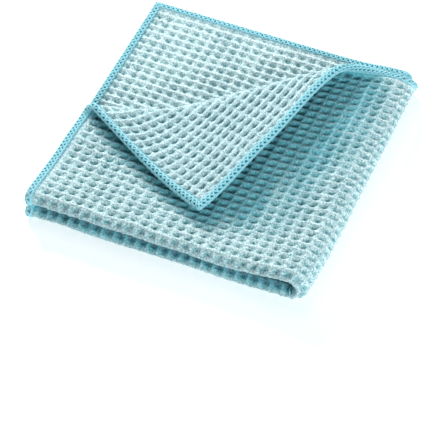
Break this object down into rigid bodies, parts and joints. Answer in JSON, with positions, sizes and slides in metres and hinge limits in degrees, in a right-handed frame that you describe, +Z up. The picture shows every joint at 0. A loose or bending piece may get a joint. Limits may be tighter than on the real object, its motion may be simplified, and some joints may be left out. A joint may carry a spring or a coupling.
{
  "type": "car detailing towel",
  "caption": "Square waffle-weave drying towel with overlocked edges, folded to a smaller square and lying flat, with the open corner of its top layer turned back.",
  "frame": {"origin": "centre of the bounding box, on the surface that the towel lies on", "axes": "+X along the front fold to the right, +Y from the front fold to the open back edges, +Z up"},
  "size_m": [0.153, 0.1518, 0.0242],
  "materials": {
    "waffle_cloth": "matt pale turquoise waffle weave",
    "edging_thread": "matt turquoise overlock thread"
  },
  "bodies": {
    "root": {"towel": "waffle_cloth"}
  },
  "joints": []
}
